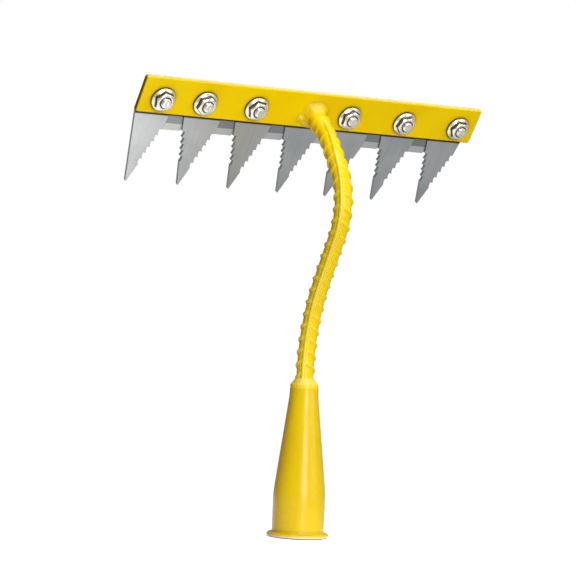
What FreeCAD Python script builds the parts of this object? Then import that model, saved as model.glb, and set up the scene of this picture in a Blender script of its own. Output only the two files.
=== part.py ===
import FreeCAD, Part
import os
import re
import Sketcher

# Weeding rake head, in millimetres. The origin is the middle of the handle socket's mouth,
# +Z runs up the handle's axis to the head, +X runs along the head bar and -Y is the front.

doc = FreeCAD.newDocument("WeedingRake")
sheet = doc.addObject("Spreadsheet::Sheet", "Sizes")

driving_sizes = [
    # Flat bar that carries the blade
    ("barLength", 220.0),
    ("barWidth", 22.0),
    ("barThickness", 3.2),
    ("barCornerRadius", 1.4),
    ("barEdgeRadius", 0.9),
    ("barSetback", 1.2),  # the front face's middle, behind the handle's axis
    ("headTilt", 34.0),  # degrees from the handle's axis to the blade
    # Toothed blade behind the bar
    ("bladeThickness", 2.0),
    ("bladeTopMargin", 2.5),
    ("bladeInset", 1.8),  # from the bar's left end
    ("toothCount", 7.0),
    ("firstToothInset", 11.0),
    ("lastToothInset", 15.2),
    ("toothLength", 45.0),  # below the bar
    ("rootDrop", 1.0),  # where the edges of a tooth start, below the bar
    ("toothRootWidth", 23.3),
    ("shoulderReach", 10.3),  # from a tooth's middle to its right edge, level with the valley
    ("tipReachLeft", 0.45),
    ("tipReachRight", 0.1),
    # Valley between two teeth, ground thin on the front in two steps
    ("valleyDrop", 11.9),
    ("bevelCover", 1.0),  # the upper step's part that the bar covers
    ("bevelStartDepth", 0.45),
    ("bevelBreakDrop", 7.3),
    ("bevelBreakDepth", 0.9),
    ("valleyLand", 0.3),
    # Saw nibs down the edges of the teeth
    ("nibPitch", 4.0),
    ("nibFlat", 0.25),
    ("firstNibDrop", 14.7),
    ("notchDepth", 1.5),
    ("notchRake", 0.35),
    ("notchHollow", 0.3),
    # Bolts and flange nuts
    ("boltDrop", 1.7),  # below the bar's middle line
    ("boltDiameter", 6.0),
    ("boltHoleClearance", 0.3),
    ("boltStand", 1.6),  # past the nut
    ("boltPointChamfer", 0.8),
    ("boltHeadFlats", 10.0),
    ("boltHeadHeight", 4.0),
    ("nutFlats", 10.0),
    ("nutHeight", 4.4),
    ("threadClearance", 0.05),
    ("flangeDiameter", 13.8),
    ("flangeRim", 1.0),
    ("flangeRise", 1.2),
    # Ribbed rod that is bent into the neck
    ("rodDiameter", 9.3),
    ("seatDrop", 3.5),  # the rod's seat, below the bar's middle line
    ("neckLead", 15.8),  # from the seat to the first corner of the neck
    ("browRise", 49.5),  # from the front corner of the neck up to the bar
    ("slantRise", 68.5),  # from the lower corner up to the front corner
    ("footRise", 35.5),  # from the socket's top up to the lower corner
    ("bulgeReach", 36.7),
    ("leadBend", 60.0),
    ("bulgeBend", 36.0),
    ("footBend", 110.0),
    ("neckInsertion", 16.5),
    ("crossRibHeight", 1.0),
    ("crossRibWidth", 2.2),
    ("crossRibCrest", 0.8),
    ("crossRibSpacing", 7.08),
    ("crossRibTilt", 36.0),  # degrees from square across the rod
    ("crossRibSweep", 160.0),  # degrees round the rod, with both ends sunk under the long ribs
    ("leftRowRise", 4.8),  # from the socket's top up to the first cross rib on the left
    ("rightRowRise", 10.4),
    ("longRibWidth", 2.0),
    ("longRibCrest", 1.2),
    ("longRibHeight", 0.9),
    ("longRibTurn", 42.5),  # degrees round the rod, from the front to the left
    # Tapered handle socket
    ("socketHeight", 82.5),
    ("socketWall", 1.5),
    ("mouthDiameter", 28.9),
    ("topDiameter", 15.8),
    ("taperStart", 24.0),
    ("collarHeight", 3.5),
    ("collarBlend", 50.0),
    ("lipReach", 2.8),
    ("lipHeight", 3.2),
    ("lipEase", 0.9),
    ("lipFoot", 0.7),
    # Welds
    ("socketWeldRoot", 2.0),
    ("socketWeldBand", 1.4),
    ("socketWeldRise", 6.0),
    ("socketWeldReach", 0.5),
    ("socketWeldEase", 0.6),
    ("headWeldLeg", 3.6),
    ("headWeldRise", 5.2),
    ("headWeldReach", 0.7),
    ("crownWidth", 13.0),
    ("crownLength", 10.4),
    ("crownRise", 4.6),
    ("crownShift", 5.4),  # above the rod's seat
    ("spatterSide", 8.2),  # to the left of the seat
    ("spatterDrop", 1.8),  # below the seat
    ("spatterDiameter", 5.4),
    ("spatterRise", 2.2),
    # One overrun for every cut
    ("overrun", 1.0),
]
for row, (alias, value) in enumerate(driving_sizes, start=1):
    sheet.set(f"A{row}", alias)
    sheet.set(f"B{row}", str(value))
    sheet.setAlias(f"B{row}", alias)
doc.recompute()

alias_pattern = re.compile(r"\b(" + "|".join(alias for alias, value in driving_sizes) + r")\b")

# Bolt places along the bar, as shares of half its length from its middle
bolt_place_shares = (-0.877, -0.641, -0.348, 0.206, 0.545, 0.887)

# Nibs on the right and left edges of a tooth, and one right edge that starts with a plain stretch
right_nib_count = 6
left_nib_count = 5
plain_start_tooth = 5
plain_start_nibs = 2


def bound(text):
    """Turns size names in an expression into the sheet's cells."""
    return alias_pattern.sub(r"Sizes.\1", text)


def size(text):
    return float(sheet.evalExpression(bound(text)))


def bind(thing, name, text):
    thing.setExpression(name, bound(text))


# Derived places, written once and shared by the pieces
tooth_pitch = "((barLength - firstToothInset - lastToothInset) / (toothCount - 1))"
half_bar = "(barWidth / 2)"
root_level = f"({half_bar} + rootDrop)"
valley_level = f"({half_bar} + valleyDrop)"
bevel_level = f"({half_bar} - bevelCover)"
break_level = f"({half_bar} + bevelBreakDrop)"
tip_level = f"({half_bar} + toothLength)"
right_slope = f"((shoulderReach - tipReachRight) / ({tip_level} - {valley_level}))"
left_slope = f"((toothRootWidth / 2 - tipReachLeft) / ({tip_level} - {root_level}))"
bar_height = "(socketHeight + footRise + slantRise + browRise)"
rod_radius = "(rodDiameter / 2)"
tooth_count = int(size("toothCount"))


def tooth_middle(number):
    return f"(firstToothInset - barLength / 2 + {number - 1} * {tooth_pitch})"


def left_reach(level):
    """Reach of a tooth's left edge, from the tooth's middle."""
    return f"(toothRootWidth / 2 - ({level} - {root_level}) * {left_slope})"


def shoulder_reach(level):
    """Reach of a tooth's right edge, below the valley."""
    return f"(shoulderReach - ({level} - {valley_level}) * {right_slope})"


def right_reach(level):
    """Reach of a tooth's right edge, above the valley."""
    share = f"(({level} - {root_level}) / ({valley_level} - {root_level}))"
    return f"(toothRootWidth / 2 - (toothRootWidth / 2 - shoulderReach) * {share})"


def new_body(label):
    body = doc.addObject("PartDesign::Body", label)
    body.Label = label
    return body


def place_on_head(thing, side="0", drop="0", depth="0"):
    """Places a piece on the tilted head: side along the bar, drop down it, depth behind its front face."""
    thing.Placement = FreeCAD.Placement(FreeCAD.Vector(), FreeCAD.Rotation(FreeCAD.Vector(1, 0, 0), 90))
    bind(thing, "Placement.Base.x", side)
    bind(thing, "Placement.Base.y", f"barSetback + {drop} * sin(headTilt) + {depth} * cos(headTilt)")
    bind(thing, "Placement.Base.z", f"{bar_height} - {drop} * cos(headTilt) + {depth} * sin(headTilt)")
    bind(thing, "Placement.Rotation.Angle", "90 deg + headTilt * 1 deg")


def new_sketch(body, name, role="XY_Plane", shift=("0", "0", "0"), turn="0"):
    """Adds a sketch on one of the body's own planes, shifted and turned on it."""
    sketch = body.newObject("Sketcher::SketchObject", name)
    plane = [feature for feature in body.Origin.OriginFeatures if feature.Role == role][0]
    sketch.AttachmentSupport = [(plane, "")]
    sketch.MapMode = "FlatFace"
    sketch.AttachmentOffset = FreeCAD.Placement(FreeCAD.Vector(), FreeCAD.Rotation(FreeCAD.Vector(0, 0, 1), 1))
    for axis, text in zip("xyz", shift):
        bind(sketch, f"AttachmentOffset.Base.{axis}", text)
    bind(sketch, "AttachmentOffset.Rotation.Angle", f"({turn}) * 1 deg")
    return sketch


def hold_point(sketch, geometry, end, corner, name):
    """Holds one point of a sketch at bound distances from the sketch's origin."""
    for kind, axis, text in (("DistanceX", "X", corner[0]), ("DistanceY", "Y", corner[1])):
        index = sketch.addConstraint(Sketcher.Constraint(kind, -1, 1, geometry, end, size(text)))
        sketch.renameConstraint(index, f"{name}{axis}")
        bind(sketch, f"Constraints.{name}{axis}", text)


def draw_outline(sketch, corners, rounds=None, closed=True):
    """Draws straight runs through bound corners. rounds gives the radius of each corner that is rounded."""
    rounds = rounds or {}
    points = [FreeCAD.Vector(size(across), size(up), 0) for across, up in corners]
    run_count = len(points) if closed else len(points) - 1
    for run in range(run_count):
        sketch.addGeometry(Part.LineSegment(points[run], points[(run + 1) % len(points)]))
    for run in range(run_count if closed else run_count - 1):
        sketch.addConstraint(Sketcher.Constraint("Coincident", run, 2, (run + 1) % run_count, 1))
    for number, corner in enumerate(corners):
        if number < run_count:
            hold_point(sketch, number, 1, corner, f"corner{number}")
        else:
            hold_point(sketch, number - 1, 2, corner, f"corner{number}")
    for number, radius in rounds.items():
        run = (number - 1) % run_count
        sketch.fillet(run, 2, size(radius), True, True)
        arc = max(index for index, shape in enumerate(sketch.Geometry) if isinstance(shape, Part.ArcOfCircle))
        index = sketch.addConstraint(Sketcher.Constraint("Radius", arc, size(radius)))
        sketch.renameConstraint(index, f"round{number}")
        bind(sketch, f"Constraints.round{number}", radius)


def draw_circle(sketch, middle, radius, name="circle"):
    centre = FreeCAD.Vector(size(middle[0]), size(middle[1]), 0)
    geometry = sketch.addGeometry(Part.Circle(centre, FreeCAD.Vector(0, 0, 1), size(radius)))
    hold_point(sketch, geometry, 3, middle, name)
    index = sketch.addConstraint(Sketcher.Constraint("Radius", geometry, size(radius)))
    sketch.renameConstraint(index, f"{name}Radius")
    bind(sketch, f"Constraints.{name}Radius", radius)


def pad(body, sketch, length, downward=False):
    feature = body.newObject("PartDesign::Pad", f"{sketch.Name}Pad")
    feature.Profile = sketch
    feature.Reversed = downward
    bind(feature, "Length", length)
    return feature


def pocket_through(body, sketch):
    feature = body.newObject("PartDesign::Pocket", f"{sketch.Name}Pocket")
    feature.Profile = sketch
    feature.Type = "ThroughAll"
    return feature


def revolve(body, sketch):
    feature = body.newObject("PartDesign::Revolution", f"{sketch.Name}Revolution")
    feature.Profile = sketch
    feature.ReferenceAxis = (sketch, ["V_Axis"])
    feature.Angle = 360
    return feature


def repeat_along(body, originals, sketch, spacing, count):
    """Repeats features along a sketch's own horizontal axis."""
    feature = body.newObject("PartDesign::LinearPattern", f"{sketch.Name}Row")
    feature.Originals = originals
    feature.Direction = (sketch, ["H_Axis"])
    feature.Mode = "Spacing"
    bind(feature, "Offset", spacing)
    bind(feature, "Occurrences", count)
    body.Tip = feature
    return feature


def cut_away(label, base, tool):
    cut = doc.addObject("Part::Cut", label)
    cut.Label = label
    cut.Base = base
    cut.Tool = tool
    return cut


def draw_bolt_holes(body):
    holes = new_sketch(body, f"{body.Name}Holes")
    for number, share in enumerate(bolt_place_shares, start=1):
        middle = (f"barLength / 2 * {share}", "-boltDrop")
        draw_circle(holes, middle, "boltDiameter / 2 + boltHoleClearance", f"hole{number}")
    return pocket_through(body, holes)


def make_head_bar():
    body = new_body("head_bar")
    place_on_head(body)
    face = new_sketch(body, "BarFace")
    half_length = "(barLength / 2)"
    corners = [
        (f"-{half_length}", f"-{half_bar}"),
        (half_length, f"-{half_bar}"),
        (half_length, half_bar),
        (f"-{half_length}", half_bar),
    ]
    draw_outline(face, corners, {number: "barCornerRadius" for number in range(4)})
    plate = pad(body, face, "barThickness", downward=True)
    doc.recompute()
    rims = [
        f"Edge{number}"
        for number, edge in enumerate(plate.Shape.Edges, start=1)
        if abs(edge.CenterOfMass.z - edge.Vertexes[0].Z) < 1e-6
    ]
    rounding = body.newObject("PartDesign::Fillet", "BarRims")
    rounding.Base = (plate, rims)
    bind(rounding, "Radius", "barEdgeRadius")
    draw_bolt_holes(body)
    return body


def draw_notch(sketch, outward):
    """Draws one notch: a raked ledge under a nib, then a hollow flank down to the next nib's point."""
    start = ("nibFlat", "0")
    floor = ("nibFlat + notchRake", f"-1 * {outward} * notchDepth")
    end = ("nibPitch", "0")
    outer_end = ("nibPitch", f"{outward} * overrun")
    outer_start = ("nibFlat", f"{outward} * overrun")
    run_length = "(nibPitch - nibFlat - notchRake)"
    middle = (
        "(nibFlat + notchRake + nibPitch) / 2",
        f"-1 * {outward} * (notchDepth / 2 + notchHollow)",
    )
    points = {name: FreeCAD.Vector(size(x), size(y), 0) for name, (x, y) in {
        "start": start, "floor": floor, "middle": middle, "end": end,
        "outer_end": outer_end, "outer_start": outer_start}.items()}
    flank = Part.Arc(points["floor"], points["middle"], points["end"])
    sketch.addGeometry(Part.LineSegment(points["start"], points["floor"]))
    sketch.addGeometry(flank)
    sketch.addGeometry(Part.LineSegment(points["end"], points["outer_end"]))
    sketch.addGeometry(Part.LineSegment(points["outer_end"], points["outer_start"]))
    sketch.addGeometry(Part.LineSegment(points["outer_start"], points["start"]))
    floor_end = 1 if sketch.getPoint(1, 1).distanceToPoint(points["floor"]) < 1e-6 else 2
    nib_end = 3 - floor_end
    for first, first_end, second, second_end in (
        (0, 2, 1, floor_end), (1, nib_end, 2, 1), (2, 2, 3, 1), (3, 2, 4, 1), (4, 2, 0, 1)
    ):
        sketch.addConstraint(Sketcher.Constraint("Coincident", first, first_end, second, second_end))
    hold_point(sketch, 0, 1, start, "start")
    hold_point(sketch, 0, 2, floor, "floor")
    hold_point(sketch, 2, 1, end, "end")
    hold_point(sketch, 2, 2, outer_end, "outerEnd")
    hold_point(sketch, 3, 2, outer_start, "outerStart")
    # The hollow flank's radius comes from its chord and its sagitta
    chord_square = f"({run_length} * {run_length} + notchDepth * notchDepth)"
    radius = f"({chord_square} / (8 * notchHollow) + notchHollow / 2)"
    index = sketch.addConstraint(Sketcher.Constraint("Radius", 1, size(radius)))
    sketch.renameConstraint(index, "flankRadius")
    bind(sketch, "Constraints.flankRadius", radius)


def cut_nibs(body, gap, side, first_tooth, last_tooth, skipped, count):
    """Cuts the notches between the nibs, down one edge of every tooth from the first to the last."""
    slope = right_slope if side == "Right" else left_slope
    outward = 1 if side == "Right" else -1
    lean = f"atan({slope})"
    first_level = f"({half_bar} + firstNibDrop)"
    run = f"({skipped} * nibPitch - nibPitch) * cos({lean})"
    reach = f"({shoulder_reach(first_level) if side == 'Right' else left_reach(first_level)} - {run} * {slope})"
    place = (f"{tooth_middle(first_tooth)} + {outward} * {reach}", f"-1 * ({first_level} + {run})", "0")
    turn = f"-90 - {outward} * {lean} / 1 deg"
    notch = new_sketch(body, f"Tooth{first_tooth}{side}Notch", shift=place, turn=turn)
    draw_notch(notch, outward)
    cut = pocket_through(body, notch)
    rows = repeat_along(body, [cut], notch, "nibPitch", str(count))
    if last_tooth > first_tooth:
        rows.Direction2 = (gap, ["H_Axis"])
        rows.Mode2 = "Spacing"
        rows.Occurrences2 = last_tooth - first_tooth + 1
        rows.Spacings2 = [-1.0] * (last_tooth - first_tooth)  # -1 keeps the common spacing
        bind(rows, "Offset2", tooth_pitch)


def make_blade():
    body = new_body("blade")
    place_on_head(body, depth="barThickness")
    last = tooth_count
    left_end = "(bladeInset - barLength / 2)"
    right_end = f"({tooth_middle(last)} + toothRootWidth / 2)"
    blank = new_sketch(body, "BladeBlank")
    draw_outline(blank, [
        (left_end, f"{half_bar} - bladeTopMargin"),
        (left_end, f"-{root_level}"),
        (f"{tooth_middle(1)} - tipReachLeft", f"-{tip_level}"),
        (f"{tooth_middle(last)} + tipReachRight", f"-{tip_level}"),
        (f"{tooth_middle(last)} + shoulderReach", f"-{valley_level}"),
        (right_end, f"-{root_level}"),
        (right_end, f"{half_bar} - bladeTopMargin"),
    ])
    pad(body, blank, "bladeThickness", downward=True)
    draw_bolt_holes(body)

    gap = new_sketch(body, "ToothGap")
    draw_outline(gap, [
        (f"{tooth_middle(1)} + shoulderReach", f"-{valley_level}"),
        (f"{tooth_middle(1)} + tipReachRight", f"-{tip_level}"),
        (f"{tooth_middle(1)} + tipReachRight", f"-{tip_level} - overrun"),
        (f"{tooth_middle(2)} - tipReachLeft", f"-{tip_level} - overrun"),
        (f"{tooth_middle(2)} - tipReachLeft", f"-{tip_level}"),
        (f"{tooth_middle(2)} - {left_reach(valley_level)}", f"-{valley_level}"),
    ])
    gap_cut = pocket_through(body, gap)
    repeat_along(body, [gap_cut], gap, tooth_pitch, "toothCount - 1")

    # Two facets are ground on the front of each valley, the lower one down to a thin edge
    facets = []
    valley_depth = "(bladeThickness - valleyLand)"
    for name, upper, lower, upper_depth, lower_depth in (
        ("UpperFacet", bevel_level, break_level, "bevelStartDepth", "bevelBreakDepth"),
        ("LowerFacet", break_level, valley_level, "bevelBreakDepth", valley_depth),
    ):
        facet = body.newObject("PartDesign::SubtractiveWedge", name)
        for prop, text in (
            ("Ymin", f"-{lower}"),
            ("Ymax", f"-{upper}"),
            ("Xmin", f"{tooth_middle(1)} + {right_reach(lower)}"),
            ("Xmax", f"{tooth_middle(2)} - {left_reach(lower)}"),
            ("X2min", f"{tooth_middle(1)} + {right_reach(upper)}"),
            ("X2max", f"{tooth_middle(2)} - {left_reach(upper)}"),
            ("Zmin", f"-{lower_depth}"),
            ("Zmax", "overrun"),
            ("Z2min", f"-{upper_depth}"),
            ("Z2max", "overrun"),
        ):
            setattr(facet, prop, size(text))
            bind(facet, prop, text)
        facets.append(facet)
    grind = body.newObject("PartDesign::LinearPattern", "ValleyFacetRow")
    grind.Originals = facets
    grind.Direction = (gap, ["H_Axis"])
    grind.Mode = "Spacing"
    bind(grind, "Offset", tooth_pitch)
    bind(grind, "Occurrences", "toothCount - 1")
    body.Tip = grind

    cut_nibs(body, gap, "Left", 2, tooth_count, 0, left_nib_count)
    cut_nibs(body, gap, "Right", 1, plain_start_tooth - 1, 0, right_nib_count)
    cut_nibs(body, gap, "Right", plain_start_tooth, plain_start_tooth, plain_start_nibs,
             right_nib_count - plain_start_nibs)
    cut_nibs(body, gap, "Right", plain_start_tooth + 1, tooth_count, 0, right_nib_count)
    return body


def hexagon_corners(flats):
    """Corners of a hexagon with two corners on the horizontal axis."""
    reach = f"({flats} / sqrt(3))"
    half_side = f"({reach} / 2)"
    half_flats = f"({flats} / 2)"
    return [
        (reach, "0"),
        (half_side, half_flats),
        (f"-{half_side}", half_flats),
        (f"-{reach}", "0"),
        (f"-{half_side}", f"-{half_flats}"),
        (half_side, f"-{half_flats}"),
    ]


def make_bolt(number, share):
    """Hexagon bolt whose head bears on the back of the blade."""
    body = new_body(f"bolt_{number}")
    place_on_head(body, f"barLength / 2 * {share}", "boltDrop", "(barThickness + bladeThickness)")
    head = new_sketch(body, f"Bolt{number}Head")
    draw_outline(head, hexagon_corners("boltHeadFlats"))
    pad(body, head, "boltHeadHeight", downward=True)
    shank = new_sketch(body, f"Bolt{number}Shank", role="XZ_Plane")
    shank_end = "(bladeThickness + barThickness + nutHeight + boltStand)"
    draw_outline(shank, [
        ("0", "0"),
        ("boltDiameter / 2", "0"),
        ("boltDiameter / 2", f"{shank_end} - boltPointChamfer"),
        ("boltDiameter / 2 - boltPointChamfer", shank_end),
        ("0", shank_end),
    ])
    revolve(body, shank)
    return body


def make_nut(number, share):
    """Hexagon nut with a flange that bears on the front of the bar."""
    body = new_body(f"nut_{number}")
    place_on_head(body, f"barLength / 2 * {share}", "boltDrop")
    prism = new_sketch(body, f"Nut{number}Hexagon")
    draw_outline(prism, hexagon_corners("nutFlats"))
    pad(body, prism, "nutHeight")
    flange = new_sketch(body, f"Nut{number}Flange", role="XZ_Plane")
    draw_outline(flange, [
        ("0", "0"),
        ("flangeDiameter / 2", "0"),
        ("flangeDiameter / 2", "flangeRim"),
        ("nutFlats / 2", "flangeRim + flangeRise"),
        ("0", "flangeRim + flangeRise"),
    ])
    revolve(body, flange)
    bore = new_sketch(body, f"Nut{number}Bore")
    draw_circle(bore, ("0", "0"), "boltDiameter / 2 + threadClearance")
    hole = pocket_through(body, bore)
    hole.Midplane = True
    return body


def make_rod():
    """Round rod with two long ribs, swept from its end in the socket up to the bar."""
    body = new_body("Rod")
    path = new_sketch(body, "NeckPath", role="YZ_Plane")
    seat = (
        "barSetback + seatDrop * sin(headTilt)",
        f"{bar_height} - seatDrop * cos(headTilt)",
    )
    first_corner = (f"{seat[0]} - neckLead * cos(headTilt)", f"{seat[1]} - neckLead * sin(headTilt)")
    draw_outline(path, [
        ("0", "socketHeight - neckInsertion"),
        ("0", "socketHeight + footRise"),
        ("-bulgeReach", "socketHeight + footRise + slantRise"),
        first_corner,
        seat,
    ], {1: "footBend", 2: "bulgeBend", 3: "leadBend"}, closed=False)

    section = new_sketch(body, "RodSection", shift=("0", "0", "socketHeight - neckInsertion"),
                         turn="-90 - longRibTurn")
    half_root = "(longRibWidth / 2)"
    half_crest = "(longRibCrest / 2)"
    crest_reach = f"({rod_radius} + longRibHeight)"
    root_reach = f"sqrt({rod_radius} * {rod_radius} - {half_root} * {half_root})"
    radius = size(rod_radius)
    for side in (1, -1):
        ends = [
            (f"{side} * {root_reach}", f"-1 * {side} * {half_root}"),
            (f"{side} * {crest_reach}", f"-1 * {side} * {half_crest}"),
            (f"{side} * {crest_reach}", f"{side} * {half_crest}"),
            (f"{side} * {root_reach}", f"{side} * {half_root}"),
        ]
        points = [FreeCAD.Vector(size(across), size(up), 0) for across, up in ends]
        for start, end in zip(points, points[1:]):
            section.addGeometry(Part.LineSegment(start, end))
        far_side = FreeCAD.Vector(-points[0].x, points[3].y, 0)
        section.addGeometry(Part.Arc(points[3], FreeCAD.Vector(0, side * radius, 0), far_side))
    # Lines 0, 1, 2 and arc 3 go round the first rib and half the rod, and 4 to 7 the rest
    for first in range(8):
        second = (first + 1) % 8
        first_end = section.getPoint(first, 2)
        second_starts = first_end.distanceToPoint(section.getPoint(second, 1)) < 1e-6
        if second_starts:
            ends = (2, 1)
        elif first_end.distanceToPoint(section.getPoint(second, 2)) < 1e-6:
            ends = (2, 2)
        elif section.getPoint(first, 1).distanceToPoint(section.getPoint(second, 1)) < 1e-6:
            ends = (1, 1)
        else:
            ends = (1, 2)
        section.addConstraint(Sketcher.Constraint("Coincident", first, ends[0], second, ends[1]))
    for side, start in ((1, 0), (-1, 4)):
        hold_point(section, start, 1, (f"{side} * {root_reach}", f"-1 * {side} * {half_root}"), f"root{start}")
        hold_point(section, start + 1, 1, (f"{side} * {crest_reach}", f"-1 * {side} * {half_crest}"), f"crest{start}")
        hold_point(section, start + 2, 1, (f"{side} * {crest_reach}", f"{side} * {half_crest}"), f"rise{start}")
        hold_point(section, start + 2, 2, (f"{side} * {root_reach}", f"{side} * {half_root}"), f"foot{start}")
        index = section.addConstraint(Sketcher.Constraint("Radius", start + 3, radius))
        section.renameConstraint(index, f"rod{start}")
        bind(section, f"Constraints.rod{start}", rod_radius)

    sweep = body.newObject("PartDesign::AdditivePipe", "RodSweep")
    sweep.Profile = section
    sweep.Spine = (path, [""])
    return body, path


def make_cross_rib():
    """Part of a ring, thickest at its root, that shows as one crescent rib once it is tilted on the rod."""
    body = new_body("CrossRib")
    profile = new_sketch(body, "CrossRibProfile", role="XZ_Plane")
    crest_reach = f"({rod_radius} + crossRibHeight)"
    inner_reach = f"({rod_radius} - crossRibHeight)"
    flank_run = "(crossRibWidth - crossRibCrest)"
    draw_outline(profile, [
        (inner_reach, f"-crossRibCrest / 2 - {flank_run}"),
        (crest_reach, "-crossRibCrest / 2"),
        (crest_reach, "crossRibCrest / 2"),
        (inner_reach, f"crossRibCrest / 2 + {flank_run}"),
    ])
    ring = revolve(body, profile)
    ring.Midplane = True
    bind(ring, "Angle", "crossRibSweep")
    return body


def make_neck(rod, path, cross_rib):
    """Sets two rows of cross ribs along the bent rod, tilted so that they drop away from the front long rib."""
    spine = Part.Wire(Part.__sortEdges__(path.Shape.Edges))
    if spine.OrderedVertexes[0].Z > spine.OrderedVertexes[-1].Z:
        edges = list(reversed(spine.OrderedEdges))
    else:
        edges = list(spine.OrderedEdges)
    lengths = [edge.Length for edge in edges]
    spacing = size("crossRibSpacing")
    last = sum(lengths) - size("headWeldRise")
    up = FreeCAD.Vector(0, 0, 1)
    turn = FreeCAD.Rotation(up, -90 - size("longRibTurn"))
    tilt = FreeCAD.Rotation(FreeCAD.Vector(0, 1, 0), -size("crossRibTilt"))
    ribs = []
    low_point = FreeCAD.Vector(0, 0, size("socketHeight - neckInsertion"))
    for row_rise, side_turn in (("leftRowRise", -90), ("rightRowRise", 90)):
        first = size(f"neckInsertion + {row_rise}")
        for number in range(int((last - first) / spacing) + 1):
            distance = first + number * spacing
            index = 0
            while distance > lengths[index]:
                distance -= lengths[index]
                index += 1
            edge = edges[index]
            begins_low = edge.valueAt(edge.FirstParameter).distanceToPoint(low_point) < edge.valueAt(
                edge.LastParameter).distanceToPoint(low_point)
            along = distance if begins_low else edge.Length - distance
            parameter = edge.getParameterByLength(along)
            heading = edge.tangentAt(parameter)
            if heading.z < 0:
                heading = -heading
            bend = FreeCAD.Rotation(up, heading)
            side = FreeCAD.Rotation(up, side_turn)
            rib = cross_rib.Shape.copy()
            rib.Placement = FreeCAD.Placement(edge.valueAt(parameter), bend * turn * tilt * side)
            ribs.append(rib)
    neck = doc.addObject("Part::Feature", "neck")
    neck.Label = "neck"
    neck.Shape = rod.Shape.fuse(ribs).removeSplitter()
    return neck


def make_socket():
    body = new_body("socket")
    wall = new_sketch(body, "SocketWall", role="XZ_Plane")
    taper_end = "(socketHeight - collarHeight)"
    draw_outline(wall, [
        ("mouthDiameter / 2 - socketWall", "0"),
        ("mouthDiameter / 2 + lipReach - lipEase", "0"),
        ("mouthDiameter / 2 + lipReach", "lipEase"),
        ("mouthDiameter / 2 + lipReach", "lipHeight - lipEase"),
        ("mouthDiameter / 2 + lipReach - lipEase", "lipHeight"),
        ("mouthDiameter / 2 + lipFoot", "lipHeight"),
        ("mouthDiameter / 2", "lipHeight + lipFoot"),
        ("mouthDiameter / 2", "taperStart"),
        ("topDiameter / 2", taper_end),
        ("topDiameter / 2", "socketHeight"),
        ("topDiameter / 2 - socketWall", "socketHeight"),
        ("topDiameter / 2 - socketWall", taper_end),
        ("mouthDiameter / 2 - socketWall", "taperStart"),
    ], {8: "collarBlend"})
    revolve(body, wall)
    return body


def make_socket_weld(neck):
    """Weld that closes the socket's top round the rod."""
    body = new_body("SocketWeldBead")
    bead = new_sketch(body, "SocketWeldProfile", role="XZ_Plane")
    draw_outline(bead, [
        ("0", "socketHeight - socketWeldRoot"),
        ("topDiameter / 2 - socketWall", "socketHeight - socketWeldRoot"),
        ("topDiameter / 2 - socketWall", "socketHeight"),
        ("topDiameter / 2", "socketHeight"),
        ("topDiameter / 2", "socketHeight + socketWeldBand"),
        ("topDiameter / 2 - socketWeldEase", "socketHeight + socketWeldBand + socketWeldEase"),
        (f"{rod_radius} + socketWeldReach", "socketHeight + socketWeldRise"),
        ("0", "socketHeight + socketWeldRise"),
    ])
    revolve(body, bead)
    return cut_away("socket_weld", body, neck)


def make_head_weld(neck):
    """Weld round the rod's seat on the bar, with a heavy crown above it and spatter on its left."""
    body = new_body("HeadWeldBead")
    place_on_head(body, drop="seatDrop")
    bead = new_sketch(body, "HeadWeldProfile", role="XZ_Plane")
    draw_outline(bead, [
        ("0", "0"),
        (f"{rod_radius} + headWeldLeg", "0"),
        (f"{rod_radius} + headWeldReach", "headWeldRise"),
        ("0", "headWeldRise"),
    ])
    revolve(body, bead)
    for name, across, up, reach_x, reach_y, rise in (
        ("Crown", "0", "crownShift", "crownWidth / 2", "crownLength / 2", "crownRise"),
        ("Spatter", "-spatterSide", "-spatterDrop", "spatterDiameter / 2", "spatterDiameter / 2", "spatterRise"),
    ):
        lump = body.newObject("PartDesign::AdditiveEllipsoid", f"HeadWeld{name}")
        lump.Angle1 = 0
        for prop, text in (
            ("Radius1", rise), ("Radius2", reach_x), ("Radius3", reach_y),
            ("AttachmentOffset.Base.x", across), ("AttachmentOffset.Base.y", up),
        ):
            bind(lump, prop, text)
    return cut_away("head_weld", body, neck)


head_bar = make_head_bar()
blade = make_blade()
bolts = [make_bolt(number, share) for number, share in enumerate(bolt_place_shares, start=1)]
nuts = [make_nut(number, share) for number, share in enumerate(bolt_place_shares, start=1)]
rod, neck_path = make_rod()
cross_rib = make_cross_rib()
doc.recompute()
neck = make_neck(rod, neck_path, cross_rib)
socket = make_socket()
socket_weld = make_socket_weld(neck)
head_weld = make_head_weld(neck)
doc.recompute()

pieces = [head_bar, blade, neck, head_weld, socket, socket_weld] + bolts + nuts

for thing in doc.Objects:
    if "Invalid" in thing.State or "Error" in thing.State:
        raise RuntimeError(f"{thing.Label} could not be built")
for piece in pieces:
    if piece.Shape.isNull() or not piece.Shape.isValid():
        raise RuntimeError(f"{piece.Label} has no valid shape")

os.makedirs("parts", exist_ok=True)
for piece in pieces:
    piece.Shape.exportStep(f"parts/{piece.Label}.step")
    print(piece.Label, len(piece.Shape.Solids), round(piece.Shape.Volume, 1))
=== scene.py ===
import math
import bmesh
import bpy
from mathutils import Euler, Matrix, Vector, noise


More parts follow.
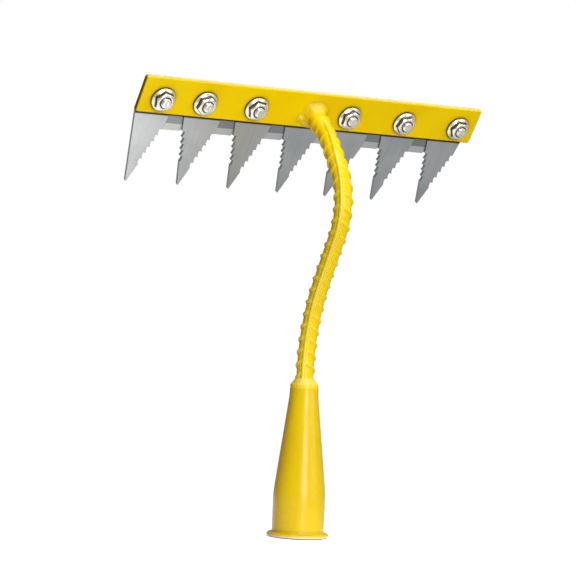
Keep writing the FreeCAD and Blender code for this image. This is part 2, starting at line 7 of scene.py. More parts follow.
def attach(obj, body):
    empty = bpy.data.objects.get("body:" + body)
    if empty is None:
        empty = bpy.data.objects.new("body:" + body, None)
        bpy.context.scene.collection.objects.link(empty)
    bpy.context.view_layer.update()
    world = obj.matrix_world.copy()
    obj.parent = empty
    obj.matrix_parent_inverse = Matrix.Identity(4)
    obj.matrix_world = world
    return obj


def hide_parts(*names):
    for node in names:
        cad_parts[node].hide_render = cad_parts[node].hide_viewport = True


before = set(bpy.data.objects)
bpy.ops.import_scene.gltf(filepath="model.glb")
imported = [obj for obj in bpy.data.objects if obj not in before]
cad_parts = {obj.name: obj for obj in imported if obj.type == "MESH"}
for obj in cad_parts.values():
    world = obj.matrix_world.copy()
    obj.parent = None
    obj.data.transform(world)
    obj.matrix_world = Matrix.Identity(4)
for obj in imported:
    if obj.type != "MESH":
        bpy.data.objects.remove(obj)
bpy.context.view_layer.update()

mm = 0.001
print("frame loaded")


# Shader sums

class Sock:
    # an output socket that can be added, subtracted and multiplied
    def __init__(self, tree, output):
        self.tree = tree
        self.output = output

    def maths(self, operation, first, second):
        node = self.tree.nodes.new("ShaderNodeMath")
        node.operation = operation
        for slotIndex, value in enumerate((first, second)):
            if isinstance(value, Sock):
                self.tree.links.new(value.output, node.inputs[slotIndex])
            else:
                node.inputs[slotIndex].default_value = value
        return Sock(self.tree, node.outputs[0])

    def __add__(self, other):
        return self.maths("ADD", self, other)

    def __radd__(self, other):
        return self.maths("ADD", other, self)

    def __sub__(self, other):
        return self.maths("SUBTRACT", self, other)

    def __rsub__(self, other):
        return self.maths("SUBTRACT", other, self)

    def __mul__(self, other):
        return self.maths("MULTIPLY", self, other)

    def __rmul__(self, other):
        return self.maths("MULTIPLY", other, self)


class NodeBoard:
    # one node tree, and the one method that adds every node but the Math nodes
    def __init__(self, tree):
        self.tree = tree

    def node(self, kind, settings, sockets, output=0):
        node = self.tree.nodes.new("ShaderNode" + kind)
        for key, value in settings.items():
            setattr(node, key, value)
        for key, value in sockets.items():
            if isinstance(value, Sock):
                self.tree.links.new(value.output, node.inputs[key])
            else:
                node.inputs[key].default_value = value
        return Sock(self.tree, node.outputs[output]) if node.outputs else None


class Finish(NodeBoard):
    # one material with its Principled shader; all sizes are in mm, so they compare with the object
    def __init__(self, name, **constants):
        self.material = bpy.data.materials.new(name)
        self.material.use_nodes = True
        super().__init__(self.material.node_tree)
        self.shader = self.tree.nodes["Principled BSDF"]
        for socketName, value in constants.items():
            self.shader.inputs[socketName.replace("_", " ")].default_value = value
        self.place = self.node("TexCoord", {}, {}, "Object")

    def axis(self, letter):
        return self.node("SeparateXYZ", {}, {0: self.place}, letter)

    def noise(self, cellSize, detail):
        sockets = {"Vector": self.place, "Scale": 1 / (cellSize * mm), "Detail": detail}
        return self.node("TexNoise", {}, sockets)

    def ease(self, value, low, high, atLow=0.0, atHigh=1.0):
        sockets = {"Value": value, "From Min": low, "From Max": high, "To Min": atLow, "To Max": atHigh}
        return self.node("MapRange", {"interpolation_type": "SMOOTHSTEP"}, sockets)

    def mix(self, factor, first, second):
        return self.node("Mix", {"data_type": "RGBA"}, {0: factor, 6: first, 7: second}, 2)

    def facing(self, direction, low, high):
        # grows from 0 to 1 on the surfaces that look along the direction
        normal = self.node("TexCoord", {}, {}, "Normal")
        along = self.node("VectorMath", {"operation": "DOT_PRODUCT"}, {0: normal, 1: direction}, "Value")
        return self.ease(along, low, high)

    def crease(self, reach, low, high, alone=False):
        # 1 deep in a crease and 0 out in the open; alone leaves the other pieces out
        settings = {"samples": 8, "only_local": alone}
        opening = self.node("AmbientOcclusion", settings, {"Distance": reach * mm}, "AO")
        return 1 - self.ease(opening, low, high)

    def bump(self, height, depth, under=None):
        sockets = {"Height": height, "Distance": depth * mm, "Strength": 1.0}
        if under:
            sockets["Normal"] = under
        return self.node("Bump", {}, sockets)

    def feed(self, socketName, value):
        self.tree.links.new(value.output, self.shader.inputs[socketName])


def linear(red, green, blue):
    # a screen colour, 0 to 255, as the linear colour that nodes take
    parts = []
    for part in (red, green, blue):
        share = part / 255
        parts.append(share / 12.92 if share <= 0.04045 else ((share + 0.055) / 1.055) ** 2.4)
    return (*parts, 1.0)


# Materials

headTilt = math.radians(34)  # the head leans back from upright
headDown = (0, math.sin(headTilt), -math.cos(headTilt))
headFront = (0, -math.cos(headTilt), -math.sin(headTilt))

paintLook = {
    # these three pairs are one yellow paint in three brightnesses, as painted light: the first brightened
    # for the bar, which faces down away from the lamps, the third darkened for the socket, which the lamps
    # light more
    "brightenedYellow": (linear(248, 207, 0), linear(253, 216, 3)),
    "rolled": (linear(243, 207, 0), linear(249, 214, 3)),
    "plain": (linear(224, 189, 0), linear(230, 197, 3)),
    # painted highlight for the crests of the long ribs
    "crestHighlight": (linear(255, 233, 92), linear(252, 227, 74)),
    # painted highlight: the pale colour along the bottom of the socket's rim
    "paintedLipHighlight": linear(234, 227, 203),
    # painted highlight on the weld's crown
    "paintedWeldHighlight": linear(238, 213, 76),
    # painted light: the duller, greyer yellow of the bar's top face as the top light shows it
    "paintedTopFace": linear(198, 179, 84),
    # the dark brown of the painted shade: in the creases, at the foot of the rim, on the bar's left end
    # and under its rim
    "deep": linear(112, 76, 0),
    # the warm brown of the painted shade on the left sides
    "warm": linear(172, 110, 0),
    "cloudSize": 34,
    "cloudRange": (0.35, 0.7),
    "creaseRange": (0.45, 1.0),
    "upperRange": (0.5, 0.9),
    "shadeRange": (0.25, 0.8),
    "highlightFullShare": 0.75,  # the painted pale highlight is full below this share of its height
    "mouthShade": (0.5, 0.75),  # painted shade where the rim stands on the floor: dark up to the first height, none from the second
    "roughness": 0.26,
    "scuffSize": 6.5,
    "scuffRange": (0.5, 0.72),
    "scuffRoughness": 0.09,
    "creaseRoughness": 0.12,
    "scuffedCoat": 0.6,
    "coatRoughness": 0.27,
    "specularShare": 0.35,
    "peelSize": 1.1,
    "peelDepth": 0.012,
}


def makePaint(name, tone, lumpSize, lumpDepth, gloss, creaseReach, creaseShade,
              shadeTone="warm", shadedSides=(), upper=(), highlightBelow=0, alone=False):
    # glossy yellow powder coat; lumps show the surface under it; painted shade darkens the creases
    # and the sides that look along the given shade directions; the upper tone is painted light on the
    # sides that look along its own direction, and under the given height the rim gets a painted pale
    # highlight
    look = paintLook
    specular = gloss * look["specularShare"]
    paint = Finish(name, Coat_Roughness=look["coatRoughness"], Specular_IOR_Level=specular)
    body = paint.mix(paint.ease(paint.noise(look["cloudSize"], 3), *look["cloudRange"]), *look[tone])
    # painted light on the sides that look along the upper direction: a highlight on the weld's crown, a
    # duller top face on the bar
    if upper:
        upperTone, direction = upper
        body = paint.mix(paint.facing(direction, *look["upperRange"]), body, look[upperTone])
    # painted highlight: a pale band along the bottom of the rim, under the given height
    if highlightBelow:
        height = paint.axis("Z")
        worn = paint.ease(height, highlightBelow * look["highlightFullShare"] * mm, highlightBelow * mm, 1.0, 0.0)
        body = paint.mix(worn, body, look["paintedLipHighlight"])
        # painted shade at the very bottom of the rim, where it stands on the floor
        shadeEnd, plainStart = look["mouthShade"]
        body = paint.mix(paint.ease(height, shadeEnd * mm, plainStart * mm, 1.0, 0.0), body, look["deep"])
    # painted shade on the sides that look along each shade direction
    for direction in shadedSides:
        body = paint.mix(paint.facing(direction, *look["shadeRange"]), body, look[shadeTone])
    # painted shade: the creases are darkened towards the dark brown
    hollow = paint.crease(creaseReach, *look["creaseRange"], alone)
    paint.feed("Base Color", paint.mix(hollow * creaseShade, body, look["deep"]))
    scuff = paint.ease(paint.noise(look["scuffSize"], 5), *look["scuffRange"])
    rough = look["roughness"] + scuff * look["scuffRoughness"] + hollow * look["creaseRoughness"]
    paint.feed("Roughness", rough)
    paint.feed("Coat Weight", gloss - scuff * gloss * look["scuffedCoat"])
    lump = paint.bump(paint.noise(lumpSize, 3), lumpDepth)
    paint.feed("Normal", paint.bump(paint.noise(look["peelSize"], 2), look["peelDepth"], lump))
    return paint.material


steelLook = {
    "base": linear(203, 205, 206),
    "worn": linear(167, 172, 175),
    "upperStep": linear(133, 137, 140),
    "lowerStep": linear(213, 215, 216),
    # the dark of the painted shade in the creases and of the painted shadow under the bar
    "shadeColour": linear(40, 38, 30),
    "streakWidth": 0.22,
    "streakLength": 26,
    "streakRange": (0.3, 0.7),
    "streakWear": 0.5,
    "stainSize": 28,
    "stainRange": (0.38, 0.68),
    "stainWear": 0.4,
    "tipRange": (-172, -138),  # down the head; painted shade, the teeth darken towards their tips
    "tipShade": 0.4,
    "upperStepLean": (0.025, 0.045),
    "upperStepShare": 0.75,
    "lowerStepLean": (0.09, 0.12),
    "lowerStepShare": 0.9,
    "creaseReach": 2.4,
    "creaseRange": (0.45, 0.95),
    "creaseShadeShare": 0.9,
    "rimShadowRange": (-181.9, -181.3),  # down the head, just under the bar: a painted shadow of the bar
    "rimShadow": 0.9,
    "frontRange": (0.0, 0.5),
    "roughness": 0.25,
    "streakRoughness": 0.12,
    "stainRoughness": 0.04,
    "streakDepth": 0.006,
    "waveSize": 14,
    "waveDepth": 0.05,
}


def makeGroundSteel():
    # grinding streaks run down the teeth
    look = steelLook
    steel = Finish("groundSteel", Metallic=1.0)
    down = steel.axis("Y") * math.sin(headTilt) - steel.axis("Z") * math.cos(headTilt)
    grain = steel.node("CombineXYZ", {}, {
        0: steel.axis("X") * (1 / (look["streakWidth"] * mm)),
        1: down * (1 / (look["streakLength"] * mm)),
    })
    streak = steel.node("TexNoise", {}, {"Vector": grain, "Scale": 1.0, "Detail": 4.0})
    stain = steel.ease(steel.noise(look["stainSize"], 4), *look["stainRange"])
    # painted shade: the teeth darken towards their tips
    tipStart, tipEnd = look["tipRange"]
    tips = steel.ease(down, tipStart * mm, tipEnd * mm)
    wear = steel.ease(streak, *look["streakRange"]) * look["streakWear"] + stain * look["stainWear"]
    tone = steel.mix(wear + tips * look["tipShade"], look["base"], look["worn"])
    # painted light: the upper ground step of each valley is painted darker and the lower one lighter, as
    # the light falls on them
    for step in ("upperStep", "lowerStep"):
        lean = steel.facing(headDown, *look[step + "Lean"])
        tone = steel.mix(lean * look[step + "Share"], tone, look[step])
    # painted shade in the creases, and a painted shadow of the bar on the steel just under it
    hollow = steel.crease(look["creaseReach"], *look["creaseRange"])
    shadeStart, shadeEnd = look["rimShadowRange"]
    rim = steel.ease(down, shadeStart * mm, shadeEnd * mm, look["rimShadow"], 0.0)
    rim = rim * steel.facing(headFront, *look["frontRange"])
    steel.feed("Base Color", steel.mix(hollow * look["creaseShadeShare"] + rim, tone, look["shadeColour"]))
    rough = look["roughness"] + streak * look["streakRoughness"] + stain * look["stainRoughness"]
    steel.feed("Roughness", rough)
    fine = steel.bump(streak, look["streakDepth"])
    steel.feed("Normal", steel.bump(steel.noise(look["waveSize"], 2), look["waveDepth"], fine))
    return steel.material


zincLook = {
    # one plating in a lit copy and a shaded copy, the shaded one for painted shade and dark reflection
    "bright": (linear(240, 238, 230), linear(206, 200, 184)),
    "shadedPlating": (linear(104, 101, 95), linear(66, 63, 58)),
    "shadeColour": linear(52, 50, 46),
    "stainSize": 2.4,
    "stainRange": (0.42, 0.7),
    "stainShare": 0.6,
    "stainRoughness": 0.14,
    "creaseReach": 1.6,
    "creaseRange": (0.4, 0.9),
    "creaseShadeShare": 0.85,
    "grainSize": 0.7,
    "grainDepth": 0.012,
}


def makeZinc(name, tone, metal, roughness):
    # plating with faint stains, and painted shade in the creases
    look = zincLook
    zinc = Finish(name, Metallic=metal)
    stain = zinc.ease(zinc.noise(look["stainSize"], 4), *look["stainRange"])
    plated = zinc.mix(stain * look["stainShare"], *look[tone])
    hollow = zinc.crease(look["creaseReach"], *look["creaseRange"])
    zinc.feed("Base Color", zinc.mix(hollow * look["creaseShadeShare"], plated, look["shadeColour"]))
    zinc.feed("Roughness", roughness + stain * look["stainRoughness"])
    zinc.feed("Normal", zinc.bump(zinc.noise(look["grainSize"], 3), look["grainDepth"]))
    return zinc.material


# directions of the sides that get painted shade (left and under) and painted light (top), where a longer
# one takes in more of the side
leftSide = (-0.47, 0.3, 0)
leftEnd = (-0.72, 0, 0)
underRim = (0, 1.0, -1.48)
topRim = (0, -0.2, 0.95)
weldTop = (-0.3, -0.65, 1.05)

barPaint = makePaint(
    "barPaint", tone="brightenedYellow", lumpSize=22, lumpDepth=0.05, gloss=0.1, creaseReach=2.4, creaseShade=1.4,
    shadeTone="deep", shadedSides=(leftEnd, underRim), upper=("paintedTopFace", topRim))
rodPaint = makePaint(
    "rodPaint", tone="rolled", lumpSize=2.2, lumpDepth=0.04, gloss=0.3, creaseReach=2.0, creaseShade=0.4,
    shadedSides=(leftSide,))
# painted highlight: a paler paint for the crests of the long ribs
crestHighlightPaint = makePaint(
    "crestHighlightPaint", tone="crestHighlight", lumpSize=2.2, lumpDepth=0.03, gloss=0.4, creaseReach=1.0, creaseShade=0.1)
weldPaint = makePaint(
    "weldPaint", tone="rolled", lumpSize=1.6, lumpDepth=0.09, gloss=0.3, creaseReach=2.4, creaseShade=0.3,
    shadedSides=(leftSide,), upper=("paintedWeldHighlight", weldTop))
socketPaint = makePaint(
    "socketPaint", tone="plain", lumpSize=14, lumpDepth=0.06, gloss=0.42, creaseReach=3.0, creaseShade=0.8,
    shadedSides=(leftSide,), highlightBelow=1.6, alone=True)
groundSteel = makeGroundSteel()
brightZinc = makeZinc("brightZinc", "bright", metal=0.6, roughness=0.2)
# the dark copy of the plating, for painted shade and dark reflection on the listed rows
shadedZinc = makeZinc("shadedZinc", "shadedPlating", metal=1.0, roughness=0.3)

for nodeName, material in (("head_bar", barPaint), ("blade", groundSteel)):
    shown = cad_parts[nodeName]
    shown.data.materials.clear()
    shown.data.materials.append(material)
print("materials made")


# Mesh helpers

def bentPath(corners, bends, step):
    # flat path through corners, each one rounded with its own bend radius, as points with headings
    points = [Vector(corner) for corner in corners]
    trail = []

    def addStraight(start, end):
        length = (end - start).length
        count = max(1, int(length / step))
        heading = (end - start).normalized()
        for index in range(count):
            trail.append((start.lerp(end, index / count), heading))

    start = points[0]
    for index, bend in enumerate(bends, start=1):
        back = (points[index - 1] - points[index]).normalized()
        ahead = (points[index + 1] - points[index]).normalized()
        half = back.angle(ahead) / 2
        trim = bend / math.tan(half)
        arcStart = points[index] + back * trim
        centre = points[index] + (back + ahead).normalized() * bend / math.sin(half)
        addStraight(start, arcStart)
        swing = math.pi - 2 * half
        side = 1 if back.x * ahead.y - back.y * ahead.x < 0 else -1
        count = max(2, int(bend * swing / step))
        for part in range(count):
            turn = Matrix.Rotation(side * swing * part / count, 2)
            trail.append((centre + turn @ (arcStart - centre), turn @ -back))
        start = points[index] + ahead * trim
    addStraight(start, points[-1])
    trail.append((points[-1], (points[-1] - start).normalized()))
    return trail


def ringMesh(name, rings, closed=False, capEnds=False):
    # skin over rings of equal count; closed joins the last ring to the first
    mesh = bmesh.new()
    layers = [[mesh.verts.new(point) for point in ring] for ring in rings]
    around = len(rings[0])
    pairs = list(zip(layers, layers[1:]))
    if closed:
        pairs.append((layers[-1], layers[0]))
    for low, high in pairs:
        for index in range(around):
            following = (index + 1) % around
            mesh.faces.new((low[index], low[following], high[following], high[index]))
    if capEnds:
        mesh.faces.new(list(reversed(layers[0])))
        mesh.faces.new(layers[-1])
    bmesh.ops.recalc_face_normals(mesh, faces=mesh.faces)
    data = bpy.data.meshes.new(name)
    mesh.to_mesh(data)
    mesh.free()
    data.shade_smooth()
    piece = bpy.data.objects.new(name, data)
    bpy.context.collection.objects.link(piece)
    return piece


def dress(piece, material, nodeName):
    piece.data.materials.append(material)
    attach(piece, "root")
    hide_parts(nodeName)


def smoothShare(value):
    value = min(1.0, max(0.0, value))
    return value * value * (3 - 2 * value)


# Neck

neckLook = {
    "corners": ((0, 66.0), (0, 118.0), (-36.7, 186.5), (-9.94, 224.26), (3.16, 233.1)),
    "bends": (110.0, 36.0, 60.0),
    "rodRadius": 4.65,
    "longRibTurn": math.radians(42.5),
    "longRibHeight": 0.85,
    "longRibFlat": 0.2,
    "longRibHalfWidths": (1.05, 1.8),  # right and left side of each long rib
    "crestColumns": (7, 10, 11, 12, 13, 53, 56, 57, 58, 59),  # of the faces round the rod
    "crestEnd": 154.0,  # this and the other places are measured along the rod
    "twist": math.radians(28),  # the rod was twisted a little where it bends towards the head
    "twistFrom": 126.0,
    "twistLength": 44.0,
    "runFrom": 169.0,  # weld metal fills the ribs from here to the head
    "runLength": 8.0,
    "runHeight": 0.85,
    "beadAt": 177.6,
    "beadHalfWidth": 2.6,
    "beadHeight": 0.65,
    "rowStarts": (21.3, 26.9),  # first rib of the left row and of the right row
    "ribPitch": 7.08,
    "ribEnd": 180.0,
    "ribHeight": 0.88,
    "ribHalfWidth": 1.35,
    "ribSlope": math.tan(math.radians(36)),
    "ribFade": 0.1,
    "ribFadePower": 1.4,
    "unevenness": 0.05,
    "unevenPace": 0.35,
    "step": 0.42,
    "around": 92,
}


def rodTwist(along):
    return neckLook["twist"] * smoothShare((along - neckLook["twistFrom"]) / neckLook["twistLength"])


def ribRise(along, turn):
    # height of the rolled ribs over the rod at one place on it
    look = neckLook
    across = math.sin(turn + rodTwist(along))
    outward = math.cos(turn + rodTwist(along))
    lean = look["rodRadius"] * look["ribSlope"]
    start = look["rowStarts"][0 if across > 0 else 1]
    station = (along - start - lean * math.cos(turn)) / look["ribPitch"]
    lastRib = int((look["ribEnd"] - start) / look["ribPitch"])
    nearest = max(0, min(lastRib, round(station)))
    slant = math.cos(math.atan(look["ribSlope"] * abs(math.sin(turn))))
    off = abs(station - nearest) * look["ribPitch"] * slant / look["ribHalfWidth"]
    fade = look["ribFade"] + (1 - look["ribFade"]) * abs(across) ** look["ribFadePower"]
    cross = look["ribHeight"] * fade * (1 - smoothShare(off))
    arc = look["rodRadius"] * math.asin(max(-1.0, min(1.0, across)))
    flat = look["longRibFlat"]
    halfWidth = look["longRibHalfWidths"][0 if arc * outward < 0 else 1]
    long = look["longRibHeight"] * (1 - smoothShare((abs(arc) - flat) / (halfWidth - flat)))
    run = look["runHeight"] * smoothShare((along - look["runFrom"]) / look["runLength"])
    run += look["beadHeight"] * (1 - smoothShare(abs(along - look["beadAt"]) / look["beadHalfWidth"]))
    return max(cross, long, run)


def makeNeck():
    look = neckLook
    trail = bentPath(look["corners"], look["bends"], look["step"])
    rings = []
    along = 0.0
    crestRows = 0
    last = trail[0][0]
    for spot, heading in trail:
        along += (spot - last).length
        last = spot
        if along < look["crestEnd"]:
            crestRows += 1
        front = Vector((0, -heading.y, heading.x))
        ring = []
        for index in range(look["around"]):
            angle = 2 * math.pi * index / look["around"] - rodTwist(along)
            seed = Vector((along * look["unevenPace"], math.cos(angle), math.sin(angle)))
            wobble = noise.noise(seed) * look["unevenness"]
            radius = look["rodRadius"] + ribRise(along, angle - look["longRibTurn"]) + wobble
            reach = front * math.cos(angle) + Vector((-1, 0, 0)) * math.sin(angle)
            ring.append((Vector((0, spot.x, spot.y)) + reach * radius) * mm)
        rings.append(ring)
    neck = ringMesh("ribbedNeck", rings, capEnds=True)
    dress(neck, rodPaint, "neck")
    # painted highlight: the crests of the long ribs get a paler paint
    neck.data.materials.append(crestHighlightPaint)
    for face in neck.data.polygons:
        row, column = divmod(face.index, look["around"])
        if row < crestRows and column in look["crestColumns"]:
            face.material_index = 1


makeNeck()
print("neck made")


# Socket

socketLook = {
    "corners": ((6.4, 82.4), (6.4, 79.0), (12.95, 24.0), (12.95, 0.0), (17.25, 0.0), (17.25, 2.6),
                (14.45, 2.6), (14.45, 24.0), (7.9, 79.0), (7.9, 82.4)),
    "bends": (50.0, 60.0, 0.45, 1.25, 1.25, 1.1, 60.0, 50.0),
    "step": 0.45,
    "around": 168,
    "waveDepth": 0.05,  # the rolled rim is a little uneven
    "waveSpread": 2.0,
    "waveSlice": 3.1,
    "waveFrom": 14.5,
    "waveEase": 2.0,
}


def makeSocket():
    look = socketLook
    spread = look["waveSpread"]
    rings = []
    for spot, _ in bentPath(look["corners"], look["bends"], look["step"]):
        hold = smoothShare((spot.x - look["waveFrom"]) / look["waveEase"])
        hold *= smoothShare(spot.y / look["waveEase"])
        ring = []
        for index in range(look["around"]):
            angle = 2 * math.pi * index / look["around"]
            seed = Vector((math.cos(angle) * spread, math.sin(angle) * spread, look["waveSlice"]))
            wave = abs(noise.noise(seed) * look["waveDepth"] * hold)
            radius = (spot.x - wave) * mm
            ring.append((radius * math.cos(angle), radius * math.sin(angle), (spot.y - wave) * mm))
        rings.append(ring)
    socket = ringMesh("taperedSocket", rings, closed=True)
    dress(socket, socketPaint, "socket")


socketWeldLook = {
    "low": 81.6,
    "high": 88.4,
    "rootRadius": 7.86,
    "topRadius": 4.7,
    "shoulder": 0.38,
    "crownPower": 1.15,
    "ripples": 26,
    "rippleDepth": 0.065,
    "rippleSlant": 5.0,
    "secondPassAt": 0.42,
    "secondPassEase": 0.08,
    "secondPassDepth": 0.2,
    "lumpDepth": 0.2,
    "lumpSpread": 2.2,
    "lumpRise": 3.0,
    "softEnd": 1.02,
    "around": 150,
    "rows": 34,
}


def makeSocketWeld():
    look = socketWeldLook
    spread = look["lumpSpread"]
    rings = []
    for row in range(look["rows"] + 1):
        share = row / look["rows"]
        crown = 1 - max(0.0, (share - look["shoulder"]) / (1 - look["shoulder"])) ** look["crownPower"]
        base = look["topRadius"] + (look["rootRadius"] - look["topRadius"]) * crown
        secondPass = smoothShare((share - look["secondPassAt"]) / look["secondPassEase"])
        soft = math.sin(math.pi * min(1.0, share * look["softEnd"]))
        height = look["low"] + (look["high"] - look["low"]) * share
        ring = []
        for index in range(look["around"]):
            angle = 2 * math.pi * index / look["around"]
            ripple = math.sin(angle * look["ripples"] + look["rippleSlant"] * share) * look["rippleDepth"]
            seed = Vector((math.cos(angle) * spread, math.sin(angle) * spread, share * look["lumpRise"]))
            lump = noise.noise(seed) * look["lumpDepth"]
            radius = base + (ripple + lump - secondPass * look["secondPassDepth"]) * soft
            radius = min(radius, look["rootRadius"])
            ring.append((radius * math.cos(angle) * mm, radius * math.sin(angle) * mm, height * mm))
        rings.append(ring)
    weld = ringMesh("socketWeldBead", rings, capEnds=True)
    dress(weld, weldPaint, "socket_weld")


makeSocket()
makeSocketWeld()
print("socket made")


# Head: everything below sits on the tilted bar

headMiddle = Vector((0, 1.2, 236))  # on the front of the bar
headPlace = Matrix.Translation(headMiddle * mm) @ Matrix.Rotation(math.pi / 2 + headTilt, 4, "X")

headWeldLook = {
    "seat": (0.0, -3.5),  # where the rod stands on the bar, across and up
    "collarRadius": 4.8,
    "collarLeg": 3.5,
    "collarRise": 5.0,
    "collarPower": 1.6,
    "domes": (  # across, up, half width, half height, rise
        (-0.1, -0.3, 8.2, 6.2, 4.7),
        (-8.2, -5.3, 2.7, 2.7, 2.1),
        (-5.6, -7.2, 2.2, 2.0, 1.5),
    ),
    "domePower": 1.2,
    "blendPower": 4,
    "lumps": 0.35,
    "lumpPace": 0.5,
    "lumpSlice": 1.7,
    "lumpEase": 1.5,
    "sink": 0.08,
    "innerReach": 3.6,
    "outerReach": 12.4,
    "lowest": -10.4,
    "highest": 10.2,
    "around": 190,
    "rows": 60,
}


def weldRise(across, up):
    look = headWeldLook
    seatAcross, seatUp = look["seat"]
    away = math.hypot(across - seatAcross, up - seatUp) - look["collarRadius"]
    rises = [look["collarRise"] * max(0.0, 1 - max(0.0, away) / look["collarLeg"]) ** look["collarPower"]]
    for middleAcross, middleUp, halfWidth, halfHeight, rise in look["domes"]:
        share = ((across - middleAcross) / halfWidth) ** 2 + ((up - middleUp) / halfHeight) ** 2
        rises.append(rise * max(0.0, 1 - share) ** look["domePower"])
    blend = sum(rise ** look["blendPower"] for rise in rises) ** (1 / look["blendPower"])
    seed = Vector((across * look["lumpPace"], up * look["lumpPace"], look["lumpSlice"]))
    return blend + noise.noise(seed) * look["lumps"] * smoothShare(blend / look["lumpEase"])


def makeHeadWeld():
    look = headWeldLook
    seatAcross, seatUp = look["seat"]
    rings = []
    for row in range(look["rows"] + 1):
        ring = []
        distance = look["innerReach"] + (look["outerReach"] - look["innerReach"]) * row / look["rows"]
        for index in range(look["around"]):
            angle = 2 * math.pi * index / look["around"]
            across = seatAcross + distance * math.cos(angle)
            up = min(look["highest"], max(look["lowest"], seatUp + distance * math.sin(angle)))
            rise = weldRise(across, up) - look["sink"]
            ring.append(headPlace @ (Vector((across, up, rise)) * mm))
        rings.append(ring)
    weld = ringMesh("headWeldBead", rings)
    dress(weld, weldPaint, "head_weld")


makeHeadWeld()

fastenerLook = {
    "shares": (-0.877, -0.641, -0.348, 0.206, 0.545, 0.887),  # places across, as shares of half the bar
    "halfBar": 110,
    "drop": 1.7,
    "nutTurns": (12, -9, 21, 4, -17, 26),
    "boltTurn": 30,
    "flats": 10.0,
    "brokenCorner": 1.13,
    "creaseAngle": math.radians(38),
    "around": 96,
}


def hexReach(angle):
    # distance from the middle of a hexagon to its edge, with slightly broken corners
    sector = (angle + math.pi / 6) % (math.pi / 3) - math.pi / 6
    half = fastenerLook["flats"] / 2
    return min(half / math.cos(sector), half * fastenerLook["brokenCorner"])


def lathe(name, profileAt, turn, matrix, closed):
    # profileAt gives the (radius, height) points of one slice; closed leaves a hole through the middle
    around = fastenerLook["around"]
    slices = [profileAt(2 * math.pi * index / around) for index in range(around)]
    rings = []
    for row in range(len(slices[0])):
        ring = []
        for index, points in enumerate(slices):
            radius, height = points[row]
            angle = 2 * math.pi * index / around + turn
            point = Vector((radius * math.cos(angle), radius * math.sin(angle), height))
            ring.append(matrix @ (point * mm))
        rings.append(ring)
    piece = ringMesh(name, rings, closed=closed, capEnds=not closed)
    # flats stay flat under smooth shading
    piece.data.set_sharp_from_angle(angle=fastenerLook["creaseAngle"])
    return piece


nutLook = {
    "height": 4.4,
    "foot": ((3.05, 0.3), (3.5, 0.02)),  # radius and height
    "flangeRadius": 6.88,
    # inward from the flange's radius, and height
    "flangeRim": ((0.25, 0.02), (0.05, 0.2), (0, 0.45), (0, 0.75), (0.1, 0.98), (0.32, 1.2)),
    "coneHeight": 1.05,
    "coneSlope": 0.5,
    "coneRoot": ((0.35, 0), (0.1, 0.12), (0, 0.4)),  # outward from the flats, and up from the cone
    "chamferSlope": 0.62,
    "chamferEdge": ((0, -0.22), (0.06, -0.04), (0.2, 0.08)),  # inward from the flats, up from the chamfer
    "topRing": 4.4,
    "topEdge": ((0.08, -0.05), (0, 0)),  # outward from the ring, and up from the top
    "mouth": ((3.5, 0), (3.42, -0.06), (3.02, -0.9)),  # radius, and up from the top
    "shadedRows": ((2, 5), (8, 12), (17, 19)),
}


def nutProfile(angle):
    look = nutLook
    side = hexReach(angle)
    flange = look["flangeRadius"]
    top = look["height"]
    chamfer = top - (side - look["topRing"]) * look["chamferSlope"]

    def cone(radius):
        return look["coneHeight"] + (flange - radius) * look["coneSlope"]

    points = list(look["foot"])
    points += [(flange - inward, up) for inward, up in look["flangeRim"]]
    points += [(side + outward, cone(side + outward) + up) for outward, up in look["coneRoot"]]
    points += [(side - inward, chamfer + up) for inward, up in look["chamferEdge"]]
    points += [(look["topRing"] + outward, top + up) for outward, up in look["topEdge"]]
    points += [(radius, top + up) for radius, up in look["mouth"]]
    return points


boltLook = {
    "grip": 5.2,  # bar and blade together
    "headDepth": 4.0,
    "headTop": ((0.02, 0.12), (2.6, 0.1), (3.3, 0.02), (4.3, 0), (4.7, 0.04)),  # radius, in from the top
    "chamferFrom": 4.6,
    "chamferEdge": ((0.2, 0.55, 0.02), (0, 0.6, 0.2)),  # inward from the flats, slope, and in from the top
    "underEdge": ((0, 0.3), (0.1, 0.12)),  # inward from the flats, and back from the blade
    "underRadius": 4.6,
    "underGap": 0.02,
    "radius": 2.95,
    "threadStart": 3.2,
    "threadPitch": 1.0,
    "threadDepth": 0.42,
    "threadFlank": 1.15,
    "threadGrowth": 0.4,
    "threadStep": 0.09,
    "end": 6.0,
    "lastStep": 0.14,
    "endChamfer": 0.75,
    "endSlope": 0.9,
    "endCap": ((2.1, 0.03), (1.6, 0), (0.9, 0.03), (0.02, 0.1)),  # radius, and back from the end
    "shadedRows": ((5, 7), (11, 18)),
}


def boltProfile(angle):
    look = boltLook
    side = hexReach(angle)
    under = -look["grip"]
    back = under - look["headDepth"]
    past = side - look["chamferFrom"]
    points = [(radius, back + up) for radius, up in look["headTop"]]
    points += [(side - inward, back + past * slope + up) for inward, slope, up in look["chamferEdge"]]
    points += [(side - inward, under - down) for inward, down in look["underEdge"]]
    points += [(look["underRadius"], under), (look["radius"], under + look["underGap"])]
    points.append((look["radius"], look["threadStart"]))
    height = look["threadStart"]
    while height < look["end"] - look["lastStep"]:
        height += look["threadStep"]
        phase = (height / look["threadPitch"] - angle / (2 * math.pi)) % 1
        groove = look["threadDepth"] * smoothShare(1 - abs(2 * phase - 1) * look["threadFlank"])
        grown = smoothShare((height - look["threadStart"]) / look["threadGrowth"])
        pointed = look["radius"] - (height - look["end"] + look["endChamfer"]) * look["endSlope"]
        points.append((min(look["radius"] - groove * grown, pointed), height))
    points += [(radius, look["end"] - down) for radius, down in look["endCap"]]
    return points


def shadedRows(piece, rows):
    # painted shade and dark reflection: the listed rows of sides, rims and threads get the dark copy of
    # the plating
    piece.data.materials.append(shadedZinc)
    for face in piece.data.polygons:
        row = face.index // fastenerLook["around"]
        if any(first <= row < last for first, last in rows):
            face.material_index = 1


